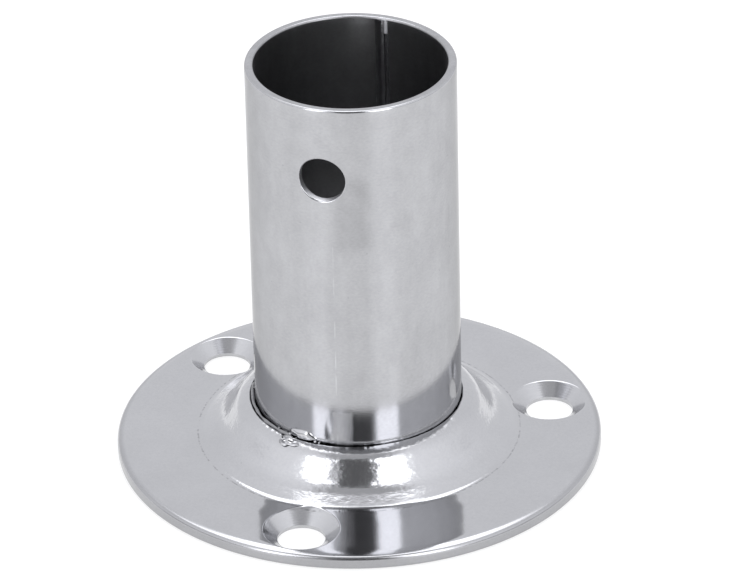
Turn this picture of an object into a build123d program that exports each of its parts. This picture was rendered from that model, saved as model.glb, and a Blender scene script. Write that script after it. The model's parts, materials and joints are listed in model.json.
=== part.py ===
from build123d import *
import os
from math import atan2, cos, radians, sin, tan

# A welded stanchion base: a pressed round flange with a domed middle, and a
# tube that stands in the dome's collar hole and takes a 25 mm stanchion.
# Millimetres. The origin is the centre of the flange's underside, +Z is up
# the tube, and the tube's cross hole and the first screw hole face -Y.

# Tube
TUBE_DIA = 28.0
TUBE_WALL = 1.2
TUBE_FOOT_Z = 1.0
RIM_Z = 58.1
RIM_ROUNDING = 0.25
CROSS_HOLE_DIA = 6.5
CROSS_HOLE_Z = 47.7
TUBE_R = TUBE_DIA / 2
BORE_R = TUBE_R - TUBE_WALL

# Weld along the tube's seam
SEAM_WIDTH = 1.6
SEAM_CROWN = 0.15
SEAM_BEARING = 90.0

# Plate: the underside is flat, and so is the top from the ease out to the rollover
FLANGE_DIA = 65.7
PLATE_THICKNESS = 1.95
EASE_R = 24.0
EASE_FALL = 3.0
EASE_ROUNDING = 30.0
ROLLOVER_R = 31.6
ROLLOVER_FALL = 13.0
ROLLOVER_ROUNDING = 4.0
TOP_EDGE_ROUNDING = 0.6
UNDER_EDGE_ROUNDING = 0.3
FLANGE_R = FLANGE_DIA / 2

# Dome: a narrow lip round the collar hole, a round shoulder, a steep side and a flared foot
COLLAR_GAP = 0.4
COLLAR_HOLE_R = TUBE_R + COLLAR_GAP
LIP_Z = 7.57
LIP_ROUNDING = 0.15
SHOULDER_R = 15.96
SHOULDER_Z = 7.12
SHOULDER_ROUNDING = 3.3
FLARE_R = 18.6
FLARE_Z = 3.6
FLARE_ROUNDING = 5.0
DOME_FOOT_R = 21.45
DOME_FOOT_Z = PLATE_THICKNESS + tan(radians(EASE_FALL)) * (EASE_R - DOME_FOOT_R)
DOME_FOOT_ROUNDING = 2.2
DOME_SHEET = 1.6
UNDER_FOOT_ROUNDING = 3.0

# Screw holes for 5 mm countersunk screws, on one circle
SCREW_COUNT = 3
SCREW_CIRCLE_DIA = 53.5
SCREW_HOLE_DIA = 6.4
COUNTERSINK_DIA = 10.2
SCREW_LAND = 0.45
FIRST_SCREW_BEARING = -90.0

# Ring of weld under the dome
ROOT_WELD_TOP_Z = 6.4
ROOT_WELD_LEG = 2.0
ROOT_WELD_BULGE = 0.25

# Weld on top: a run in the collar gap that ends in a flat lens on the tube
LENS_BEARING = -104.0
LENS_SPHERE_R = 2.3
LENS_BULGE = 0.6
LENS_CENTRE_Z = 8.0
GAP_RUN_START = -176.0
GAP_RUN_LOW_Z = 6.5
GAP_RUN_HIGH_Z = 7.2


def under_bend(r, z, slope_in, slope_out):
    """Point one sheet under a bend of the dome between two slopes."""
    depth = DOME_SHEET / cos((slope_in - slope_out) / 2)
    middle = (slope_in + slope_out) / 2
    return r - depth * sin(middle), z - depth * cos(middle)


# The dome's slopes and its underside
LIP_SLOPE = atan2(LIP_Z - SHOULDER_Z, SHOULDER_R - COLLAR_HOLE_R)
SIDE_SLOPE = atan2(SHOULDER_Z - FLARE_Z, FLARE_R - SHOULDER_R)
FLARE_SLOPE = atan2(FLARE_Z - DOME_FOOT_Z, DOME_FOOT_R - FLARE_R)
UNDER_SHOULDER_R, UNDER_SHOULDER_Z = under_bend(SHOULDER_R, SHOULDER_Z, LIP_SLOPE, SIDE_SLOPE)
UNDER_FLARE_R, UNDER_FLARE_Z = under_bend(FLARE_R, FLARE_Z, SIDE_SLOPE, FLARE_SLOPE)
UNDER_FOOT_R = UNDER_FLARE_R + UNDER_FLARE_Z / tan(FLARE_SLOPE)
UNDER_LIP_Z = UNDER_SHOULDER_Z + (UNDER_SHOULDER_R - COLLAR_HOLE_R) * tan(LIP_SLOPE)


def under_side(r):
    """Height of the underside of the dome's steep side at radius r."""
    return UNDER_SHOULDER_Z - (r - UNDER_SHOULDER_R) * tan(SIDE_SLOPE)


def on_circle(radius, bearing, z=0.0):
    """Point at a radius and a bearing in degrees from +X."""
    return Vector(radius * cos(radians(bearing)), radius * sin(radians(bearing)), z)


def round_corner(profile, r, z, radius):
    """Round the profile's corner nearest to (r, z)."""
    nearest = profile.vertices().sort_by_distance((r, z, 0))[0]
    return fillet(nearest, radius)


def turned(profile, angle=360.0):
    """Solid of revolution about the tube's axis from an (r, z) profile."""
    return revolve(Plane.XZ * profile, Axis.Z, angle)


def ring(inner_r, outer_r, low_z, high_z):
    middle = Pos((inner_r + outer_r) / 2, (low_z + high_z) / 2)
    return turned(middle * Rectangle(outer_r - inner_r, high_z - low_z))


def make_flange_profile():
    edge_z = PLATE_THICKNESS - tan(radians(ROLLOVER_FALL)) * (FLANGE_R - ROLLOVER_R)
    corners = [
        (COLLAR_HOLE_R, UNDER_LIP_Z, 0),
        (COLLAR_HOLE_R, LIP_Z, LIP_ROUNDING),
        (SHOULDER_R, SHOULDER_Z, SHOULDER_ROUNDING),
        (FLARE_R, FLARE_Z, FLARE_ROUNDING),
        (DOME_FOOT_R, DOME_FOOT_Z, DOME_FOOT_ROUNDING),
        (EASE_R, PLATE_THICKNESS, EASE_ROUNDING),
        (ROLLOVER_R, PLATE_THICKNESS, ROLLOVER_ROUNDING),
        (FLANGE_R, edge_z, TOP_EDGE_ROUNDING),
        (FLANGE_R, 0, UNDER_EDGE_ROUNDING),
        (UNDER_FOOT_R, 0, UNDER_FOOT_ROUNDING),
        (UNDER_FLARE_R, UNDER_FLARE_Z, FLARE_ROUNDING + DOME_SHEET),
        (UNDER_SHOULDER_R, UNDER_SHOULDER_Z, SHOULDER_ROUNDING - DOME_SHEET),
    ]
    profile = make_face(Polyline(*[(r, z) for r, z, rounding in corners], close=True))
    for r, z, rounding in corners:
        if rounding:
            profile = round_corner(profile, r, z, rounding)
    return profile


def make_base_flange():
    flange = turned(make_flange_profile())
    for screw in range(SCREW_COUNT):
        bearing = FIRST_SCREW_BEARING + screw * 360 / SCREW_COUNT
        flange -= Pos(on_circle(SCREW_CIRCLE_DIA / 2, bearing)) * make_screw_cutter()
    return flange


def make_screw_cutter():
    """Clearance hole, cone and the cone's full diameter above it."""
    cone_depth = PLATE_THICKNESS - SCREW_LAND
    hole = Pos(0, 0, PLATE_THICKNESS / 2) * Cylinder(SCREW_HOLE_DIA / 2, 2 * PLATE_THICKNESS)
    cone = Pos(0, 0, SCREW_LAND + cone_depth / 2) * Cone(SCREW_HOLE_DIA / 2, COUNTERSINK_DIA / 2, cone_depth)
    above = Pos(0, 0, PLATE_THICKNESS * 1.5) * Cylinder(COUNTERSINK_DIA / 2, PLATE_THICKNESS)
    return hole + cone + above


def make_tube_ring():
    """The whole tube wall, with both edges of the rim rounded."""
    middle_r = (BORE_R + TUBE_R) / 2
    section = Pos(middle_r, (TUBE_FOOT_Z + RIM_Z) / 2) * Rectangle(TUBE_WALL, RIM_Z - TUBE_FOOT_Z)
    for r in (BORE_R, TUBE_R):
        section = round_corner(section, r, RIM_Z, RIM_ROUNDING)
    return turned(section)


def make_seam_slot():
    """Gap between the rolled strip's two edges, which the seam weld fills."""
    return Rot(0, 0, SEAM_BEARING) * Pos(TUBE_R, 0, RIM_Z / 2) * Box(TUBE_R, SEAM_WIDTH, 2 * RIM_Z)


def make_socket_tube():
    drill = Pos(0, -TUBE_R, CROSS_HOLE_Z) * Rot(90, 0, 0) * Cylinder(CROSS_HOLE_DIA / 2, TUBE_R)
    return make_tube_ring() - make_seam_slot() - drill


def make_tube_seam_weld():
    """Weld metal through the wall, flush outside and crowned inside."""
    length = RIM_Z - TUBE_FOOT_Z - 2 * RIM_ROUNDING
    half_width = SEAM_WIDTH / 2
    edge_r = (BORE_R**2 - half_width**2) ** 0.5
    wall_arc = ThreePointArc((edge_r, -half_width), (BORE_R, 0), (edge_r, half_width))
    crown_arc = ThreePointArc((edge_r, half_width), (BORE_R - SEAM_CROWN, 0), (edge_r, -half_width))
    crown = extrude(make_face([wall_arc, crown_arc]), length)
    crown = Rot(0, 0, SEAM_BEARING) * Pos(0, 0, TUBE_FOOT_Z + RIM_ROUNDING) * crown
    return (make_tube_ring() & make_seam_slot()) + crown


def make_root_weld(base_flange):
    """Fillet ring in the corner between the tube and the dome's underside."""
    foot = (TUBE_R, ROOT_WELD_TOP_Z - ROOT_WELD_LEG * 1.3)
    toe_r = TUBE_R + ROOT_WELD_LEG
    toe = (toe_r, under_side(toe_r))
    face_r = (foot[0] + toe[0]) / 2 + ROOT_WELD_BULGE / 2
    face_z = (foot[1] + toe[1]) / 2 - ROOT_WELD_BULGE
    face_arc = ThreePointArc(foot, (face_r, face_z), toe)
    rest = Polyline(toe, (toe_r, ROOT_WELD_TOP_Z), (TUBE_R, ROOT_WELD_TOP_Z), foot)
    return turned(make_face([face_arc, *rest.edges()])) - base_flange


def make_collar_tack_weld(base_flange):
    lens_top_z = LENS_CENTRE_Z + LENS_SPHERE_R
    lens_centre = on_circle(TUBE_R + LENS_BULGE - LENS_SPHERE_R, LENS_BEARING, LENS_CENTRE_Z)
    lens = Pos(lens_centre) * Sphere(LENS_SPHERE_R)
    lens = lens & ring(TUBE_R, TUBE_R + LENS_SPHERE_R, GAP_RUN_LOW_Z, lens_top_z)
    lens -= base_flange
    height = GAP_RUN_HIGH_Z - GAP_RUN_LOW_Z
    section = Pos(TUBE_R + COLLAR_GAP / 2, GAP_RUN_LOW_Z + height / 2) * Rectangle(COLLAR_GAP, height)
    run = Rot(0, 0, GAP_RUN_START) * turned(section, LENS_BEARING - GAP_RUN_START)
    return lens + run


base_flange = make_base_flange()
socket_tube = make_socket_tube()
nodes = {
    "base_flange": base_flange,
    "socket_tube": socket_tube,
    "tube_seam_weld": make_tube_seam_weld(),
    "root_weld": make_root_weld(base_flange),
    "collar_tack_weld": make_collar_tack_weld(base_flange),
}

os.makedirs("parts", exist_ok=True)
for name, shape in nodes.items():
    export_step(shape, f"parts/{name}.step")
    print(name, len(shape.solids()), "solids", round(shape.volume, 2), "mm3")
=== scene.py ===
"""Looks of a polished stainless steel stanchion base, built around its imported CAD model."""

import json
import math
from bisect import bisect_right

import bmesh
import bpy
from mathutils import Matrix, Vector, noise


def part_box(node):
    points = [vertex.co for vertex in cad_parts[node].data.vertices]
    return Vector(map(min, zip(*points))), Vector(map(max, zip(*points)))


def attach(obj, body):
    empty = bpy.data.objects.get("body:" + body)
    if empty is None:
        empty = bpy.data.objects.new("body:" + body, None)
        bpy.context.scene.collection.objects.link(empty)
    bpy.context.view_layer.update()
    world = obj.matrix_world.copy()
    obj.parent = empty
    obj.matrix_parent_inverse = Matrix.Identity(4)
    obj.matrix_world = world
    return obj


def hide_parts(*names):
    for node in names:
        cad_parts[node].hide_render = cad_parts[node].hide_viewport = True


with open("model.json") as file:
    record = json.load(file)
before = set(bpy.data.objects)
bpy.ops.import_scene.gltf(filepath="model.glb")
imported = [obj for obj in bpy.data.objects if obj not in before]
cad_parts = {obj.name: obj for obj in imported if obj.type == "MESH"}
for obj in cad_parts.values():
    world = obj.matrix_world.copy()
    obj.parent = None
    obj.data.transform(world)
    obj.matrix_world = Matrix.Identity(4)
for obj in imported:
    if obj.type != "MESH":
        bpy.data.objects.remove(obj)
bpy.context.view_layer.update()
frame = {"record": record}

MM = 0.001

# Camera: a long lens looking down on the fitting, a little to the right of
# the side that the cross hole faces
CAMERA_AZIMUTH = 17.3
CAMERA_ELEVATION = 30.08
CAMERA_ROLL = -1.33
CAMERA_DISTANCE = 804.86 * MM
CAMERA_AIM_RIGHT = 1.224 * MM
CAMERA_AIM_HEIGHT = 23.45 * MM
CAMERA_LENS = 295.9
CAMERA_SENSOR = 36.0

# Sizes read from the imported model, in millimetres
mounts = {mount["name"]: mount for mount in frame["record"]["mounts"]}
tube_low, tube_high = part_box("socket_tube")
flange_low, flange_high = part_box("base_flange")
TUBE_R = (tube_high[0] - tube_low[0]) / 2 / MM
TUBE_FOOT_Z = tube_low[2] / MM
RIM_Z = tube_high[2] / MM
BORE_R = mounts["socket_bore"]["dims"]["r_mm"]
CROSS_HOLE_R = mounts["cross_hole"]["dims"]["r_mm"]
CROSS_HOLE_Z = mounts["cross_hole"]["pos_m"][2] / MM
FLANGE_R = (flange_high[0] - flange_low[0]) / 2 / MM
SCREW_CIRCLE_R = mounts["deck_screws"]["dims"]["pcd_mm"] / 2
SCREW_HOLE_R = mounts["deck_screws"]["dims"]["hole_r_mm"]
SCREW_COUNT = mounts["deck_screws"]["dims"]["count"]

# Flange section, as in the CAD model
PLATE_THICKNESS = 1.95
EASE_R = 24.0
EASE_FALL = 3.0
ROLLOVER_R = 31.6
ROLLOVER_FALL = 13.0
FIRST_SCREW_BEARING = -90.0
CROSS_HOLE_BEARING = -90.0
COUNTERSINK_R = 5.1
SCREW_LAND = 0.45
COLLAR_HOLE_R = TUBE_R + 0.4
LIP_Z = 7.57
SHOULDER_R = 15.96
SHOULDER_Z = 7.12
SHOULDER_ROUNDING = 3.3
FLARE_R = 18.6
FLARE_Z = 3.6
FLARE_ROUNDING = 5.0
DOME_FOOT_R = 21.45
DOME_FOOT_Z = PLATE_THICKNESS + math.tan(math.radians(EASE_FALL)) * (EASE_R - DOME_FOOT_R)
DOME_SHEET = 1.6


def direction(azimuth, elevation):
    """Unit vector towards an azimuth, counted from the camera's, and an elevation."""
    a, e = math.radians(CAMERA_AZIMUTH + azimuth), math.radians(elevation)
    return Vector((math.sin(a) * math.cos(e), -math.cos(a) * math.cos(e), math.sin(e)))


def on_circle(radius, bearing, z=0.0):
    """Point at a radius and a bearing in degrees from +X."""
    a = math.radians(bearing)
    return Vector((radius * math.cos(a), radius * math.sin(a), z))


def make_camera():
    data = bpy.data.cameras.new("camera")
    data.lens = CAMERA_LENS
    data.sensor_width = CAMERA_SENSOR
    data.clip_start = 0.05
    data.clip_end = 20.0
    camera = bpy.data.objects.new("camera", data)
    bpy.context.scene.collection.objects.link(camera)
    back = direction(0, CAMERA_ELEVATION)
    right = direction(90, 0)
    aim = right * CAMERA_AIM_RIGHT + Vector((0, 0, CAMERA_AIM_HEIGHT))
    upright = back.to_track_quat("Z", "Y").to_matrix()
    rolled = upright @ Matrix.Rotation(math.radians(CAMERA_ROLL), 3, "Z")
    camera.matrix_world = Matrix.Translation(aim + back * CAMERA_DISTANCE) @ rolled.to_4x4()
    bpy.context.scene.camera = camera


# ---------------------------------------------------------------- node graphs


class Graph:
    """Short calls that add nodes to one node tree."""

    def __init__(self, tree):
        self.tree = tree
        tree.nodes.clear()

    def node(self, kind, values=None, **settings):
        made = self.tree.nodes.new(kind)
        for name, value in settings.items():
            setattr(made, name, value)
        for key, value in (values or {}).items():
            self.feed(made.inputs[key], value)
        return made

    def feed(self, socket, value):
        if isinstance(value, bpy.types.NodeSocket):
            self.tree.links.new(value, socket)
        else:
            socket.default_value = value

    def math(self, operation, a, b=0.0, clamp=False):
        made = self.node("ShaderNodeMath", {0: a, 1: b}, operation=operation, use_clamp=clamp)
        return made.outputs[0]

    def add(self, *terms):
        total = terms[0]
        for term in terms[1:]:
            total = self.math("ADD", total, term)
        return total

    def times(self, *factors):
        product = factors[0]
        for factor in factors[1:]:
            product = self.math("MULTIPLY", product, factor)
        return product

    def dot(self, a, b):
        made = self.node("ShaderNodeVectorMath", {0: a, 1: b}, operation="DOT_PRODUCT")
        return made.outputs["Value"]

    def stretch(self, vector, factors):
        made = self.node("ShaderNodeVectorMath", {0: vector, 1: factors}, operation="MULTIPLY")
        return made.outputs[0]

    def ramp(self, value, low, high, start=0.0, end=1.0):
        """Smooth step of value from start at low to end at high."""
        values = {"Value": value, "From Min": low, "From Max": high, "To Min": start, "To Max": end}
        made = self.node("ShaderNodeMapRange", values, interpolation_type="SMOOTHSTEP")
        return made.outputs["Result"]

    def band(self, value, low, high, soft):
        """1 where value lies between low and high, with soft sides."""
        rise = self.ramp(value, low - soft, low + soft)
        return self.times(rise, self.ramp(value, high - soft, high + soft, 1.0, 0.0))

    def blend(self, share, a, b):
        made = self.node("ShaderNodeMix", data_type="RGBA", clamp_result=False)
        self.feed(made.inputs[0], share)
        self.feed(made.inputs[6], a)
        self.feed(made.inputs[7], b)
        return made.outputs[2]

    def noise(self, vector, detail=2.0, roughness=0.5, reach=1.0):
        """Smooth noise from -reach/2 to reach/2, one wave to a unit of vector."""
        values = {"Vector": vector, "Scale": 1.0, "Detail": detail, "Roughness": roughness}
        fac = self.node("ShaderNodeTexNoise", values).outputs["Fac"]
        return self.times(self.math("SUBTRACT", fac, 0.5), reach)


def grey(value, tint=(1.0, 1.0, 1.0)):
    return (value * tint[0], value * tint[1], value * tint[2], 1.0)


COOL = (0.985, 0.99, 1.02)
STRAW = (1.02, 0.98, 0.92)


# ---------------------------------------------------------------- surroundings


def paint_card(graph, toward, base, azimuth, elevation, half_width, half_height, soft, value):
    """Lays a flat card over the surroundings. Half sizes are tangents seen from the object."""
    centre = direction(azimuth, elevation)
    right = direction(azimuth + 90, 0)
    up = centre.cross(right) * -1
    ahead = graph.dot(toward, centre)
    safe = graph.math("MAXIMUM", ahead, 0.001)
    across = graph.math("ABSOLUTE", graph.math("DIVIDE", graph.dot(toward, right), safe))
    along = graph.math("ABSOLUTE", graph.math("DIVIDE", graph.dot(toward, up), safe))
    inside = graph.ramp(across, half_width - soft, half_width + soft, 1.0, 0.0)
    inside = graph.times(inside, graph.ramp(along, half_height - soft, half_height + soft, 1.0, 0.0))
    inside = graph.times(inside, graph.math("GREATER_THAN", ahead, 0.0))
    return graph.blend(inside, base, grey(value, COOL))


# Flat cards laid over the surroundings, each from the camera's azimuth
CARDS = (
    # azimuth, elevation, half width, half height, soft edge, brightness
    (-176, 67, 0.32, 0.31, 0.04, 3.0),
    (0, 77, 0.34, 0.25, 0.10, 0.62),
    (-26, 36, 0.19, 0.50, 0.05, 0.95),
    (-1, 36, 0.27, 0.56, 0.06, 0.14),
    (-42, 32, 0.15, 0.42, 0.04, 3.6),
    (32, 34, 0.19, 0.50, 0.04, 3.6),
)
BACK_WALL = 1.02
FRONT_WALL = 1.38
HORIZON = 0.55
FLOOR_HALF_SIZE = 6.0
FLOOR_DROP = 0.02 * MM
FLOOR_TONE = 0.30
FLOOR_GLOW = 0.70
FLOOR_GLOSS = 0.25
FLOOR_ROUGHNESS = 0.35


def make_surroundings():
    """A white tent with a light overhead, and a dark gap between two lights in front."""
    world = bpy.data.worlds.new("studio")
    bpy.context.scene.world = world
    world.use_nodes = True
    graph = Graph(world.node_tree)
    toward = graph.node("ShaderNodeTexCoord").outputs["Generated"]
    facing = graph.dot(toward, direction(180, 0))
    light = graph.blend(graph.ramp(facing, -0.7, 0.9), grey(FRONT_WALL, COOL), grey(BACK_WALL, COOL))
    low = graph.ramp(graph.dot(toward, (0, 0, 1)), 0.15, 0.42, 1.0, 0.0)
    low = graph.times(low, graph.ramp(facing, -0.1, 0.4, 1.0, 0.0))
    light = graph.blend(graph.times(low, 1 - HORIZON), light, grey(0.0))
    for card in CARDS:
        light = paint_card(graph, toward, light, *card)
    seen = graph.node("ShaderNodeLightPath").outputs["Is Camera Ray"]
    light = graph.blend(seen, light, grey(1.0))
    background = graph.node("ShaderNodeBackground", {"Color": light})
    graph.node("ShaderNodeOutputWorld", {"Surface": background.outputs[0]})


def make_floor():
    corners = [(-1, -1), (1, -1), (1, 1), (-1, 1)]
    mesh = bpy.data.meshes.new("floor")
    places = [(x * FLOOR_HALF_SIZE, y * FLOOR_HALF_SIZE, 0) for x, y in corners]
    mesh.from_pydata(places, [], [(0, 1, 2, 3)])
    floor = bpy.data.objects.new("floor", mesh)
    bpy.context.scene.collection.objects.link(floor)
    floor.location.z = -FLOOR_DROP
    material = bpy.data.materials.new("floor")
    material.use_nodes = True
    graph = Graph(material.node_tree)
    shader = graph.node("ShaderNodeBsdfPrincipled")
    shader.inputs["Base Color"].default_value = grey(FLOOR_TONE)
    shader.inputs["Roughness"].default_value = FLOOR_ROUGHNESS
    shader.inputs["Specular IOR Level"].default_value = FLOOR_GLOSS
    shader.inputs["Emission Color"].default_value = grey(1.0)
    shader.inputs["Emission Strength"].default_value = FLOOR_GLOW
    graph.node("ShaderNodeOutputMaterial", {"Surface": shader.outputs[0]})
    mesh.materials.append(material)


# ---------------------------------------------------------------- steel


SMOOTHEST = 0.03


class Steel:
    """A metal material whose height, tone and roughness details add up. Lengths are in mm."""

    def __init__(self, name, tone, roughness, tint=COOL, grazing=1.0):
        self.material = bpy.data.materials.new(name)
        self.material.use_nodes = True
        self.graph = Graph(self.material.node_tree)
        self.tone, self.roughness, self.tint, self.grazing = tone, roughness, tint, grazing
        self.heights, self.tones, self.roughnesses = [], [], []
        position = self.graph.node("ShaderNodeTexCoord").outputs["Object"]
        self.place = self.graph.stretch(position, (1 / MM, 1 / MM, 1 / MM))
        parts = self.graph.node("ShaderNodeSeparateXYZ", {0: self.place})
        self.x, self.y, self.z = parts.outputs
        flat = self.graph.stretch(self.place, (1, 1, 0))
        self.r = self.graph.node("ShaderNodeVectorMath", {0: flat}, operation="LENGTH").outputs["Value"]
        self.bearing = self.graph.math("ARCTAN2", self.y, self.x)
        turned = self.graph.times(self.bearing, TUBE_R)
        self.round = self.graph.node("ShaderNodeCombineXYZ", {0: turned, 1: self.r, 2: self.z}).outputs[0]

    def waves(self, size, reach, round_axes=False, detail=2.0, mask=None):
        """Noise of one wave to each of three sizes in mm, from -reach/2 to reach/2."""
        vector = self.round if round_axes else self.place
        sizes = size if isinstance(size, tuple) else (size, size, size)
        scaled = self.graph.stretch(vector, tuple(1 / one for one in sizes))
        made = self.graph.noise(scaled, detail=detail, reach=reach)
        return made if mask is None else self.graph.times(made, mask)

    def specks(self, spacing, size, share, round_axes=False):
        """1 on scattered round spots, one to a share of the cells of a spacing in mm."""
        vector = self.round if round_axes else self.place
        cells = self.graph.node("ShaderNodeTexVoronoi", {"Vector": vector, "Scale": 1 / spacing})
        chosen = self.graph.node("ShaderNodeSeparateColor", {0: cells.outputs["Color"]}).outputs[0]
        chosen = self.graph.math("LESS_THAN", chosen, share)
        reach = size / spacing / 2
        spot = self.graph.ramp(cells.outputs["Distance"], reach * 0.6, reach, 1.0, 0.0)
        return self.graph.times(spot, chosen)

    def sector(self, bearing, half_width, low_z, high_z, soft):
        """1 on a patch round the tube, with its half width and heights in mm."""
        turn = self.graph.math("SUBTRACT", self.bearing, math.radians(bearing))
        across = self.graph.math("ABSOLUTE", self.graph.times(turn, TUBE_R))
        inside = self.graph.ramp(across, half_width - soft, half_width + soft, 1.0, 0.0)
        return self.graph.times(inside, self.graph.band(self.z, low_z, high_z, soft))

    def finish(self):
        graph = self.graph
        shader = graph.node("ShaderNodeBsdfPrincipled")
        shader.inputs["Metallic"].default_value = 1.0
        shader.inputs["Specular Tint"].default_value = grey(self.grazing)
        tone = graph.add(self.tone, *self.tones)
        share = graph.math("MULTIPLY", tone, 1.0, clamp=True)
        graph.feed(shader.inputs["Base Color"], graph.blend(share, grey(0.0), grey(1.0, self.tint)))
        roughness = graph.add(self.roughness, *self.roughnesses)
        graph.feed(shader.inputs["Roughness"], graph.math("MAXIMUM", roughness, SMOOTHEST))
        bump = graph.node("ShaderNodeBump", {"Height": graph.add(*self.heights), "Distance": MM})
        graph.feed(shader.inputs["Normal"], bump.outputs[0])
        graph.node("ShaderNodeOutputMaterial", {"Surface": shader.outputs[0]})
        return self.material


def make_flange_steel():
    steel = Steel("polished_steel", 0.5, 0.08)
    graph = steel.graph
    dome = graph.band(steel.r, 14.6, 20.6, 0.5)
    foot = graph.band(steel.r, 20.9, 22.1, 0.2)
    broken = graph.ramp(steel.waves(0.45, 1.0), -0.1, 0.15)
    # Painted shade: a broken dark line in the crease at the dome's foot
    crease = graph.times(graph.band(steel.r, 21.8, 22.0, 0.08), broken)
    # Outer edge of the flange: brushed bumps and more roughness, with painted shade darkening its tone
    edge = graph.ramp(steel.r, 31.8, 32.6)
    cones = graph.times(graph.band(steel.r, 21.0, 31.8, 0.1), graph.ramp(steel.z, 1.78, 1.90, 1.0, 0.0))
    steel.heights = [
        steel.waves(2.6, 0.0040, detail=1.0),
        steel.waves(0.5, 0.0012),
        steel.waves(0.16, 0.0008),
        steel.waves(1.3, 0.034, detail=1.0, mask=dome),
        steel.waves((0.45, 0.40, 0.30), 0.0200, round_axes=True, mask=dome),
        steel.waves((0.14, 2.0, 2.0), 0.0080, round_axes=True, mask=foot),
        steel.waves((1.5, 0.10, 0.10), 0.0030, round_axes=True, mask=edge),
    ]
    steel.tones = [
        steel.waves(6.0, 0.05),
        steel.waves(0.35, 0.05),
        graph.times(steel.specks(2.4, 0.22, 0.25), -0.08),
        # painted shade in the crease at the dome's foot
        graph.times(crease, -0.16),
        # painted shade on the flange's outer edge and side wall
        graph.times(edge, -0.10),
    ]
    steel.roughnesses = [
        steel.waves(3.0, 0.05),
        graph.times(dome, 0.07),
        graph.times(cones, 0.12),
        graph.times(edge, 0.12),
    ]
    return steel.finish()


def make_tube_steel():
    steel = Steel("drawn_steel", 0.46, 0.12, grazing=0.7)
    graph = steel.graph
    buffed = steel.sector(-81.5, 1.3, 0, 12.5, 0.25)
    smear = steel.sector(-73.5, 2.4, 37.5, 48.0, 1.0)
    # A thin dashed lighter line down the tube, from its foot to below the cross hole
    thin_bright_line = steel.sector(-84.6, 0.07, 0, 38, 0.05)
    thin_bright_line = graph.times(thin_bright_line, graph.ramp(steel.waves((1.0, 1.0, 3.0), 1.0, round_axes=True), -0.1, 0.2))
    inside = graph.ramp(steel.r, BORE_R + 0.05, BORE_R + 0.25, 1.0, 0.0)
    # Painted light: the cross hole's wall is lightened where light falls on it, and made rougher
    hole_wall = steel.sector(CROSS_HOLE_BEARING, 3.6, CROSS_HOLE_Z - 3.6, CROSS_HOLE_Z + 3.6, 0.2)
    hole_wall = graph.times(hole_wall, graph.band(steel.r, BORE_R + 0.1, TUBE_R - 0.15, 0.08))
    steel.heights = [
        steel.waves((2.2, 1.0, 9.0), 0.0020, round_axes=True, detail=1.0),
        steel.waves((0.6, 1.0, 0.25), 0.0024, round_axes=True),
        steel.waves((0.08, 1.0, 3.0), 0.0006, round_axes=True),
        steel.waves((0.22, 1.0, 3.0), 0.0150, round_axes=True, mask=buffed),
    ]
    steel.tones = [
        steel.waves((1.6, 1.0, 12.0), 0.05, round_axes=True),
        steel.waves((0.5, 1.0, 0.3), 0.08, round_axes=True),
        steel.waves((2.0, 1.0, 2.6), 0.08, round_axes=True),
        steel.waves((6.0, 1.0, 8.0), 0.10, round_axes=True),
        graph.times(steel.specks(2.8, 0.30, 0.3, round_axes=True), -0.06),
        graph.times(smear, -0.05),
        graph.times(thin_bright_line, 0.14),
        # painted light on the cross hole's wall
        graph.times(hole_wall, 0.20),
        graph.times(inside, -0.16),
    ]
    steel.roughnesses = [
        steel.waves((1.0, 1.0, 12.0), 0.05, round_axes=True),
        graph.times(buffed, 0.12),
        graph.times(hole_wall, 0.30),
        graph.times(inside, 0.20),
    ]
    return steel.finish()


def make_root_steel():
    """Unpolished weld metal with a light straw tint."""
    steel = Steel("weld_steel", 0.40, 0.30, STRAW)
    steel.heights = [steel.waves(0.35, 0.010), steel.waves(0.12, 0.003)]
    steel.tones = [steel.waves(0.8, 0.15)]
    steel.roughnesses = [steel.waves(0.5, 0.10)]
    return steel.finish()


def make_seam_steel():
    """Unpolished weld metal, with a painted highlight near the rim: a thin streak that is brighter and
    rougher.
    """
    steel = Steel("seam_steel", 0.5, 0.22)
    # Painted highlight: a thin bright streak on the bead near the rim
    painted_glint = steel.sector(SEAM_BEARING - 2.6, 0.26, RIM_Z - 2.2, RIM_Z, 0.15)
    steel.heights = [steel.waves(0.35, 0.008), steel.waves(0.12, 0.003)]
    steel.tones = [steel.waves(0.8, 0.15), steel.graph.times(painted_glint, 0.5)]
    steel.roughnesses = [steel.waves(0.5, 0.10), steel.graph.times(painted_glint, 0.35)]
    return steel.finish()


def make_tack_steel():
    """Smooth bright weld metal, rough and darkened with painted shade where it lies in the gap."""
    steel = Steel("bright_weld_steel", 0.5, 0.12)
    # In the collar gap the weld gets painted shade, with more bumps and roughness
    in_gap = steel.graph.ramp(steel.bearing, math.radians(-114), math.radians(-111), 1.0, 0.0)
    on_lip = steel.graph.ramp(steel.r, 14.6, 14.8, 0.0, 1.0)
    steel.heights = [steel.waves(0.8, 0.010), steel.waves(0.25, 0.025, mask=in_gap)]
    steel.tones = [
        # painted shade on the run in the collar gap, mottled and darkened
        steel.waves(0.5, 0.20, mask=in_gap),
        steel.graph.times(in_gap, -0.24),
        steel.graph.times(on_lip, 0.10),
    ]
    steel.roughnesses = [steel.graph.times(in_gap, 0.16), steel.graph.times(on_lip, 0.16)]
    return steel.finish()


# ---------------------------------------------------------------- mesh tools


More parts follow.
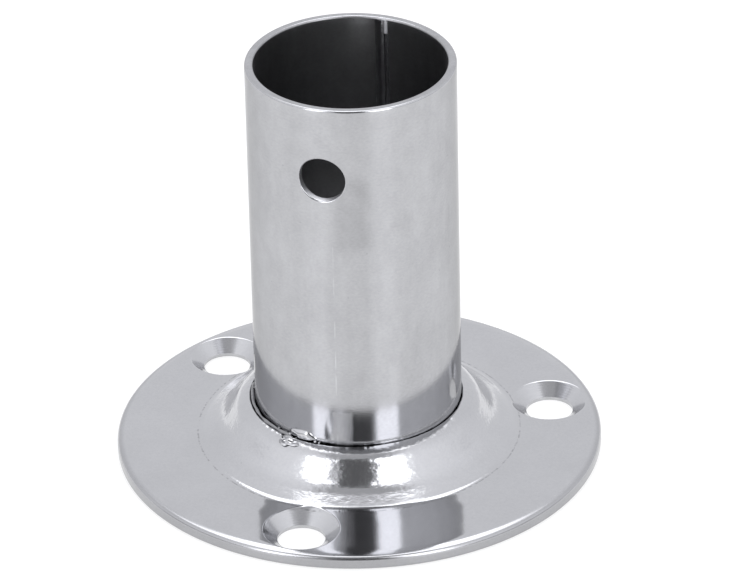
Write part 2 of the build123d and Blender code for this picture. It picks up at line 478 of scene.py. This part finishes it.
class Shape:
    """Points in millimetres and faces, gathered into one mesh object."""

    def __init__(self):
        self.points = []
        self.faces = []

    def point(self, place):
        self.points.append(place)
        return len(self.points) - 1

    def join(self, ring_a, ring_b):
        """Quads between two closed rings of the same length."""
        for k in range(len(ring_a)):
            n = (k + 1) % len(ring_a)
            self.faces.append((ring_a[k], ring_a[n], ring_b[n], ring_b[k]))

    def make(self, name, material, node, crease=35.0):
        work = bmesh.new()
        made = [work.verts.new(place * MM) for place in self.points]
        for face in self.faces:
            work.faces.new([made[index] for index in face])
        bmesh.ops.recalc_face_normals(work, faces=work.faces)
        mesh = bpy.data.meshes.new(name)
        work.to_mesh(mesh)
        work.free()
        mesh.shade_smooth()
        mesh.set_sharp_from_angle(angle=math.radians(crease))
        mesh.materials.append(material)
        piece = bpy.data.objects.new(name, mesh)
        bpy.context.scene.collection.objects.link(piece)
        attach(piece, "root")
        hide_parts(node)
        return piece


def rounded(corners, step):
    """Points along a path of (r, z, rounding) corners, with its round corners as arcs."""
    path = []
    for index, (r, z, rounding) in enumerate(corners):
        here = Vector((r, z))
        if rounding == 0 or index in (0, len(corners) - 1):
            path.append(here)
            continue
        back = (Vector(corners[index - 1][:2]) - here).normalized()
        ahead = (Vector(corners[index + 1][:2]) - here).normalized()
        turn = math.pi - back.angle(ahead)
        centre = here + (back + ahead).normalized() * rounding / math.cos(turn / 2)
        start = here + back * rounding * math.tan(turn / 2) - centre
        side = 1 if back.x * ahead.y - back.y * ahead.x < 0 else -1
        count = max(4, math.ceil(rounding * turn / step))
        for k in range(count + 1):
            path.append(centre + Matrix.Rotation(side * turn * k / count, 2) @ start)
    return path


def divided(path, step):
    """The path with its long runs cut into even lengths of about one step."""
    points = [path[0]]
    for start, end in zip(path, path[1:]):
        count = max(1, round((end - start).length / step))
        points += [start.lerp(end, (k + 1) / count) for k in range(count)]
    return points


def height_at(path, r):
    """Height at radius r of a path that runs outwards."""
    k = min(max(bisect_right([point.x for point in path], r), 1), len(path) - 1)
    start, end = path[k - 1], path[k]
    return start.y + (end.y - start.y) * (r - start.x) / (end.x - start.x)


class Lathe:
    """A closed (r, z) section turned about the tube's axis, on a grid that can have gaps."""

    def __init__(self, shape, section, columns, place):
        self.shape, self.section, self.columns, self.place = shape, section, columns, place
        self.made = {}

    def corner(self, row, column):
        key = (row % len(self.section), column % self.columns)
        if key not in self.made:
            bearing = 360 * key[1] / self.columns
            self.made[key] = self.shape.point(self.place(*self.section[key[0]], bearing))
        return self.made[key]

    def fill(self, gaps):
        """Faces everywhere but in the gaps, each (first row, last row, first column, last column)."""
        open_cells = {
            (row, column % self.columns)
            for first_row, last_row, first, last in gaps
            for row in range(first_row, last_row)
            for column in range(first, last)
        }
        for row in range(len(self.section)):
            for column in range(self.columns):
                if (row, column) in open_cells:
                    continue
                corners = [(row, column), (row + 1, column), (row + 1, column + 1), (row, column + 1)]
                self.shape.faces.append([self.corner(*corner) for corner in corners])

    def outline(self, first_row, last_row, first, last):
        """Corners round a gap, once round."""
        down = 1 if last_row > first_row else -1
        turn = [(first_row, column) for column in range(first, last)]
        turn += [(row, last) for row in range(first_row, last_row, down)]
        turn += [(last_row, column) for column in range(last, first, -1)]
        turn += [(row, first) for row in range(last_row, first_row, -down)]
        return [self.corner(*corner) for corner in turn]


def fill_round(shape, outline, axes, centre, radii, place, blends):
    """Rings from an outline in to a round hole, over the plane of two axes. Returns the last ring."""
    flat = [Vector([shape.points[index][axis] for axis in axes]) - centre for index in outline]
    ring = outline
    for k in range(1, blends + 1):
        share = k / blends
        spots = [spot.lerp(spot.normalized() * radii[0], share) for spot in flat]
        inner = [shape.point(place(centre + spot)) for spot in spots]
        shape.join(ring, inner)
        ring = inner
    for radius in radii[1:]:
        inner = [shape.point(place(centre + spot.normalized() * radius)) for spot in flat]
        shape.join(ring, inner)
        ring = inner
    return ring


def steps(start, end, count):
    return [start + (end - start) * k / count for k in range(count + 1)]


# ---------------------------------------------------------------- base flange

FLANGE_COLUMNS = 480
SCREW_GAP_COLUMNS = 17
SCREW_GAP_ROWS = 36
GAP_IN_R = 21.2
GAP_OUT_R = 32.2
UNDER_GAP_IN_R = 22.9
UNDER_GAP_OUT_R = 31.9
CHATTER_PITCH = 0.28
CHATTER_HEIGHT = 0.0016
RIM_EASING = 0.12

# Worn lip: pressed a little off centre, tighter than the CAD's but for a wide
# gap on one side, and torn back and raised beside the tack weld
LIP_SHIFT = 0.06
LIP_SHIFT_BEARING = -162.7
LIP_SHIFT_R = 17.7
LIP_TIGHTER = 0.24
LIP_BURR = 0.07
LIP_WAVE = 0.05
WIDE_GAP = 0.45
WIDE_GAP_BEARING = -150.0
TEAR_BEARING = -112.5
TEAR_HALF_WIDTH = 4.2
TEAR_DEPTH = 0.6
TEAR_RAISE = 0.28


def flange_top_path():
    edge_z = PLATE_THICKNESS - math.tan(math.radians(ROLLOVER_FALL)) * (FLANGE_R - ROLLOVER_R)
    corners = [
        (COLLAR_HOLE_R, LIP_Z - 1.2, 0),
        (COLLAR_HOLE_R, LIP_Z, 0.15),
        (SHOULDER_R, SHOULDER_Z, SHOULDER_ROUNDING),
        (FLARE_R, FLARE_Z, FLARE_ROUNDING),
        (DOME_FOOT_R, DOME_FOOT_Z, 2.2),
        (EASE_R, PLATE_THICKNESS, 30.0),
        (ROLLOVER_R, PLATE_THICKNESS, 4.0),
        (FLANGE_R, edge_z, 0.6),
        (FLANGE_R, 0, 0.3),
        (UNDER_GAP_OUT_R, 0, 0),
    ]
    return divided(rounded(corners, 0.2), 0.25)


def under_bend(r, z, slope_in, slope_out):
    """Point one sheet under a bend of the dome between two slopes."""
    depth = DOME_SHEET / math.cos((slope_in - slope_out) / 2)
    middle = (slope_in + slope_out) / 2
    return r - depth * math.sin(middle), z - depth * math.cos(middle)


def flange_under_path():
    """From the screw gaps in to the collar hole, one sheet under the dome."""
    lip_slope = math.atan2(LIP_Z - SHOULDER_Z, SHOULDER_R - COLLAR_HOLE_R)
    side_slope = math.atan2(SHOULDER_Z - FLARE_Z, FLARE_R - SHOULDER_R)
    flare_slope = math.atan2(FLARE_Z - DOME_FOOT_Z, DOME_FOOT_R - FLARE_R)
    shoulder_r, shoulder_z = under_bend(SHOULDER_R, SHOULDER_Z, lip_slope, side_slope)
    flare_r, flare_z = under_bend(FLARE_R, FLARE_Z, side_slope, flare_slope)
    corners = [
        (UNDER_GAP_IN_R, 0, 0),
        (flare_r + flare_z / math.tan(flare_slope), 0, 3.0),
        (flare_r, flare_z, FLARE_ROUNDING + DOME_SHEET),
        (shoulder_r, shoulder_z, SHOULDER_ROUNDING - DOME_SHEET),
        (COLLAR_HOLE_R, shoulder_z + (shoulder_r - COLLAR_HOLE_R) * math.tan(lip_slope), 0),
    ]
    return divided(rounded(corners, 0.4), 0.6)


def between(value, low, high):
    """0 below low, 1 above high, even in between."""
    return min(max((value - low) / (high - low), 0), 1)


def worn_flange(r, z, bearing):
    """Place on the flange, with the wear of its lip."""
    shift = on_circle(LIP_SHIFT, LIP_SHIFT_BEARING) * between(LIP_SHIFT_R - r, 0, 2.5)
    near_edge = between(15.6 - r, 0, 1.0) * between(z, 6.6, 7.2)
    along = on_circle(6.0, bearing)
    burr = noise.noise(along * 1.5) * 0.85 + noise.noise(along * 7) * 0.15
    wide_gap = max(math.cos(math.radians(bearing - WIDE_GAP_BEARING)), 0) * WIDE_GAP
    off_tear = abs((bearing - TEAR_BEARING + 180) % 360 - 180) / TEAR_HALF_WIDTH
    ragged = noise.noise(along * 12)
    tear = math.exp(-(off_tear**4)) * (1 + ragged)
    out = near_edge * (LIP_BURR * burr + TEAR_DEPTH * tear + wide_gap - LIP_TIGHTER)
    up = near_edge * (LIP_WAVE * noise.noise(along * 4) + TEAR_RAISE * tear * (0.7 + ragged))
    return on_circle(r + out, bearing, z + up) + shift


def make_flange():
    """Turned flange with its three countersunk holes."""
    shape = Shape()
    top = flange_top_path()
    plate = [Vector((r, height_at(top, r))) for r in steps(GAP_IN_R, GAP_OUT_R, SCREW_GAP_ROWS)]
    collar = [point for point in top if point.x < GAP_IN_R]
    edge = [point for point in top if point.x > GAP_OUT_R]
    under = [Vector((r, 0)) for r in steps(UNDER_GAP_OUT_R, UNDER_GAP_IN_R, SCREW_GAP_ROWS)]
    section = collar + plate + edge + under + flange_under_path()[1:]
    lathe = Lathe(shape, section, FLANGE_COLUMNS, worn_flange)
    top_row = len(collar)
    under_row = len(collar) + len(plate) + len(edge)
    screw_columns = [
        round((FIRST_SCREW_BEARING / 360 + k / SCREW_COUNT) * FLANGE_COLUMNS) for k in range(SCREW_COUNT)
    ]
    gaps = []
    for column in screw_columns:
        sides = (column - SCREW_GAP_COLUMNS, column + SCREW_GAP_COLUMNS)
        gaps += [(row, row + SCREW_GAP_ROWS, *sides) for row in (top_row, under_row)]
    lathe.fill(gaps)
    cone_slope = (PLATE_THICKNESS - SCREW_LAND) / (COUNTERSINK_R - SCREW_HOLE_R)
    for k, column in enumerate(screw_columns):
        centre = on_circle(SCREW_CIRCLE_R, FIRST_SCREW_BEARING + 360 * k / SCREW_COUNT).to_2d()

        def sunk(spot):
            reach = (spot - centre).length
            level = height_at(top, spot.length)
            cone = SCREW_LAND + (reach - SCREW_HOLE_R) * cone_slope
            cone += CHATTER_HEIGHT * math.sin(2 * math.pi * reach / CHATTER_PITCH)
            ease = max(RIM_EASING - abs(level - cone), 0) / RIM_EASING
            return Vector((*spot, min(level, cone) - ease**2 * RIM_EASING / 4))

        sides = (column - SCREW_GAP_COLUMNS, column + SCREW_GAP_COLUMNS)
        mouth = lathe.outline(top_row, top_row + SCREW_GAP_ROWS, *sides)
        radii = steps(COUNTERSINK_R + 0.2, SCREW_HOLE_R, 46)
        upper = fill_round(shape, mouth, (0, 1), centre, radii, sunk, 16)
        exit_row = lathe.outline(under_row + SCREW_GAP_ROWS, under_row, *sides)
        radii = [SCREW_HOLE_R + 0.5, SCREW_HOLE_R]
        lower = fill_round(shape, exit_row, (0, 1), centre, radii, lambda spot: Vector((*spot, 0)), 3)
        shape.join(upper, lower)
    return shape.make("pressed_flange", make_flange_steel(), "base_flange")


# ---------------------------------------------------------------- socket tube

TUBE_COLUMNS = 360
HOLE_GAP_COLUMNS = 19
HOLE_GAP_ROWS = 30
HOLE_GAP_HALF_HEIGHT = 4.8
TUBE_RIM_ROUNDING = 0.3

# The punched edge of the cross hole rolls inwards and is rounded
HOLE_WALL_R = CROSS_HOLE_R - 0.15
HOLE_EASING = 0.24


def make_tube():
    """Turned tube with its cross hole."""
    shape = Shape()
    low, high = CROSS_HOLE_Z - HOLE_GAP_HALF_HEIGHT, CROSS_HOLE_Z + HOLE_GAP_HALF_HEIGHT
    rising = steps(low, high, HOLE_GAP_ROWS)
    outer = [Vector((TUBE_R, z)) for z in rising]
    inner = [Vector((BORE_R, z)) for z in reversed(rising)]
    rim_corners = [
        (TUBE_R, high, 0),
        (TUBE_R, RIM_Z, TUBE_RIM_ROUNDING),
        (BORE_R, RIM_Z, TUBE_RIM_ROUNDING),
        (BORE_R, high, 0),
    ]
    foot_corners = [
        (BORE_R, low, 0),
        (BORE_R, TUBE_FOOT_Z, 0.1),
        (TUBE_R, TUBE_FOOT_Z, 0.1),
        (TUBE_R, low, 0),
    ]
    rim = divided(rounded(rim_corners, 0.1), 1.0)[1:-1]
    foot = divided(rounded(foot_corners, 0.1), 1.0)[1:-1]

    def on_tube(r, z, bearing):
        return on_circle(r, bearing, z)

    lathe = Lathe(shape, outer + rim + inner + foot, TUBE_COLUMNS, on_tube)
    inner_row = len(outer) + len(rim)
    column = round(CROSS_HOLE_BEARING / 360 * TUBE_COLUMNS)
    sides = (column - HOLE_GAP_COLUMNS, column + HOLE_GAP_COLUMNS)
    lathe.fill([(row, row + HOLE_GAP_ROWS, *sides) for row in (0, inner_row)])
    centre = Vector((0, CROSS_HOLE_Z))

    def on_wall(radius, sink):
        def place(spot):
            past = max(HOLE_WALL_R + HOLE_EASING - (spot - centre).length, 0)
            drop = sink * (1 - math.sqrt(max(1 - (past / HOLE_EASING) ** 2, 0)))
            return Vector((spot.x, -math.sqrt(radius**2 - spot.x**2) + drop, spot.y))

        return place

    radii = [CROSS_HOLE_R + 0.5] + steps(HOLE_WALL_R + HOLE_EASING, HOLE_WALL_R, 8)
    mouth = lathe.outline(0, HOLE_GAP_ROWS, *sides)
    outside = fill_round(shape, mouth, (0, 2), centre, radii, on_wall(TUBE_R, HOLE_EASING), 5)
    exit_row = lathe.outline(inner_row + HOLE_GAP_ROWS, inner_row, *sides)
    inside = fill_round(shape, exit_row, (0, 2), centre, radii, on_wall(BORE_R, -HOLE_EASING), 5)
    shape.join(outside, inside)
    return shape.make("drawn_tube", make_tube_steel(), "socket_tube")


# ---------------------------------------------------------------- welds

SEAM_BEARING = 88.0
SEAM_WIDTH = 1.9
SEAM_CROWN = 0.15
SEAM_RIDGE = -0.62
SEAM_COLUMNS = 24
SEAM_ROWS = 320


def make_seam_weld():
    """Low bead down the bore with a narrow ridge along one side, rooted in the tube's wall."""
    shape = Shape()

    def on_bead(across, z):
        wander = 0.08 * noise.noise(Vector((0, 0, z * 0.3)))
        ridge = math.exp(-(((across - SEAM_RIDGE) / 0.16) ** 2))
        body = 0.6 * math.exp(-(((across - 0.1) / 0.45) ** 2))
        uneven = 1 + 0.15 * noise.noise(Vector((across * 2, 0, z * 1.2)))
        crown = SEAM_CROWN * (ridge + body) * uneven * (1 - across**2)
        bearing = SEAM_BEARING + math.degrees((across * SEAM_WIDTH / 2 + wander) / BORE_R)
        return on_circle(BORE_R - crown, bearing, z)

    rows = []
    for z in steps(TUBE_FOOT_Z + 0.3, RIM_Z - 0.3, SEAM_ROWS):
        face = [on_bead(across, z) for across in steps(-1, 1, SEAM_COLUMNS)]
        root = [on_circle(BORE_R + 0.3, SEAM_BEARING + side * 3.2, z) for side in (1, -1)]
        rows.append([shape.point(place) for place in face + root])
    for below, above in zip(rows, rows[1:]):
        shape.join(below, above)
    shape.faces += [rows[0], rows[-1]]
    return shape.make("seam_bead", make_seam_steel(), "tube_seam_weld")


ROOT_WELD_REACH = 2.0
ROOT_WELD_LOW_Z = 3.8
ROOT_WELD_TOP_Z = 6.4
ROOT_RIPPLE_PITCH = 1.1
ROOT_COLUMNS = 720


def height_at_under(r):
    """Height of the dome's underside at radius r."""
    path = flange_under_path()
    return height_at(list(reversed(path)), r)


def make_root_weld():
    """Rippled fillet ring in the corner between the tube and the dome's underside."""
    shape = Shape()
    foot = Vector((TUBE_R - 0.1, ROOT_WELD_LOW_Z))
    toe = Vector((TUBE_R + ROOT_WELD_REACH, height_at_under(TUBE_R + ROOT_WELD_REACH) + 0.1))
    face = [foot.lerp(toe, share) for share in steps(0, 1, 14)]
    section = face + [Vector((TUBE_R - 0.1, ROOT_WELD_TOP_Z - 0.3))]
    face_places = {(point.x, point.y) for point in face}
    outward = Vector((toe.y - foot.y, foot.x - toe.x)).normalized()

    def on_ring(r, z, bearing):
        share = between(r, foot.x, toe.x)
        arc = 4 * share * (1 - share) if (r, z) in face_places else 0
        along = math.radians(bearing) * TUBE_R
        ripple = math.sin(2 * math.pi * (along / ROOT_RIPPLE_PITCH + 0.6 * arc))
        bulge = arc * (0.2 + 0.05 * ripple + 0.12 * noise.noise(on_circle(5.0, bearing, z * 0.3)))
        return on_circle(r + outward.x * bulge, bearing, z + outward.y * bulge)

    lathe = Lathe(shape, section, ROOT_COLUMNS, on_ring)
    lathe.fill([])
    return shape.make("root_bead", make_root_steel(), "root_weld")


# Tack weld: a lens on the tube, a run in the collar gap, a splash on the lip and spatter
LENS_BEARING = -105.6
LENS_HALF_WIDTH = 2.05
LENS_HALF_HEIGHT = 0.95
LENS_Z = 7.95
LENS_BULGE = 0.55
RUN_START = -178.0
RUN_END = -111.0
RUN_Z = 7.30
RUN_OFFSET = 0.30
RUN_THICKNESS = 0.28
RUN_TALLNESS = 1.4
RUN_RINGS = 220
RUN_SIDES = 12
SPLASH_BEARING = -111.3
SPLASH_R = 15.2
SPLASH_LENGTH = 1.5
SPLASH_WIDTH = 0.95
SPLASH_RIM = 0.12
SPATTER = (
    # bearing, z, size
    (-97.4, 7.55, 0.20),
    (-95.2, 7.45, 0.15),
    (-108.6, 7.35, 0.26),
    (-113.5, 7.6, 0.28),
    (-117.0, 7.5, 0.22),
    (-122.0, 7.6, 0.18),
    (-168.0, 7.7, 0.16),
)


def add_patch(shape, place, turns=48):
    """Closed blob from an outer ring in to its middle. place takes a share and an angle."""
    rings = []
    for share in steps(1, 0.04, 20):
        rings.append([shape.point(place(share, 2 * math.pi * turn / turns)) for turn in range(turns)])
    for outer, inner in zip(rings, rings[1:]):
        shape.join(outer, inner)
    shape.faces += [rings[0], rings[-1]]


def on_lens(share, angle):
    """Flat lens of weld metal smeared on the tube's wall."""
    edge = 1 + 0.16 * noise.noise(Vector((math.cos(angle) * 1.6, math.sin(angle) * 1.6, 4.0)))
    across = share * edge * LENS_HALF_WIDTH * math.cos(angle)
    z = LENS_Z + share * edge * LENS_HALF_HEIGHT * math.sin(angle)
    lumps = 0.06 * noise.noise(Vector((across * 1.1, z * 1.1, 2.0)))
    rise = (LENS_BULGE + lumps) * (1 - share**2) ** 0.6 - 0.05
    return on_circle(TUBE_R + rise, LENS_BEARING + math.degrees(across / TUBE_R), z)


def on_splash(share, angle):
    """Shallow bowl of melted lip metal with a ragged raised edge."""
    ragged = 1 + 0.4 * noise.noise(Vector((math.cos(angle) * 1.5, math.sin(angle) * 1.5, 9.0)))
    along = share * ragged * SPLASH_LENGTH * math.cos(angle)
    r = SPLASH_R + share * ragged * SPLASH_WIDTH * math.sin(angle)
    rim = math.exp(-(((share - 0.8) / 0.2) ** 2))
    rise = SPLASH_RIM * rim * (1 + 0.8 * noise.noise(Vector((along * 1.1, r * 1.1, 1.0)))) - 0.06 * share
    z = LIP_Z - 0.29 * max(r - COLLAR_HOLE_R, 0) + rise
    return on_circle(r, SPLASH_BEARING + math.degrees(along / SPLASH_R), z)


def add_run(shape):
    """Uneven run of weld metal that lies in the collar gap."""
    rings = []
    for bearing in steps(RUN_START, RUN_END, RUN_RINGS):
        along = on_circle(9.0, bearing)
        ends = min(between(bearing, RUN_START, RUN_START + 5), 1 - between(bearing, RUN_END - 3, RUN_END))
        thick = (RUN_THICKNESS + 0.12 * noise.noise(along * 1.1)) * max(ends, 0.05)
        r = TUBE_R + RUN_OFFSET + 0.12 * noise.noise(along * 0.6 + Vector((0, 0, 3)))
        z = RUN_Z + 0.25 * noise.noise(along * 0.5 + Vector((0, 0, 7)))
        ring = []
        for turn in range(RUN_SIDES):
            a = 2 * math.pi * turn / RUN_SIDES
            place = on_circle(r + thick * math.cos(a), bearing, z + RUN_TALLNESS * thick * math.sin(a))
            ring.append(shape.point(place))
        rings.append(ring)
    for before, after in zip(rings, rings[1:]):
        shape.join(before, after)
    shape.faces += [rings[0], rings[-1]]


def add_drop(shape, centre, size):
    """Small uneven drop of spatter."""
    work = bmesh.new()
    bmesh.ops.create_icosphere(work, subdivisions=3, radius=1.0)
    first = len(shape.points)
    for vert in work.verts:
        uneven = 1 + 0.35 * noise.noise(vert.co * 1.5 + centre * 3)
        shape.point(centre + vert.co * size * uneven)
    shape.faces += [[first + vert.index for vert in face.verts] for face in work.faces]
    work.free()


def make_tack_weld():
    """The lens, splash, run and spatter, as one piece."""
    shape = Shape()
    add_patch(shape, on_lens)
    add_patch(shape, on_splash)
    add_run(shape)
    for bearing, z, size in SPATTER:
        add_drop(shape, on_circle(TUBE_R + 0.15, bearing, z), size)
    return shape.make("tack_bead", make_tack_steel(), "collar_tack_weld")


make_camera()
make_surroundings()
make_floor()
make_flange()
make_tube()
make_seam_weld()
make_root_weld()
make_tack_weld()

scene = bpy.context.scene
scene.view_settings.view_transform = "Standard"
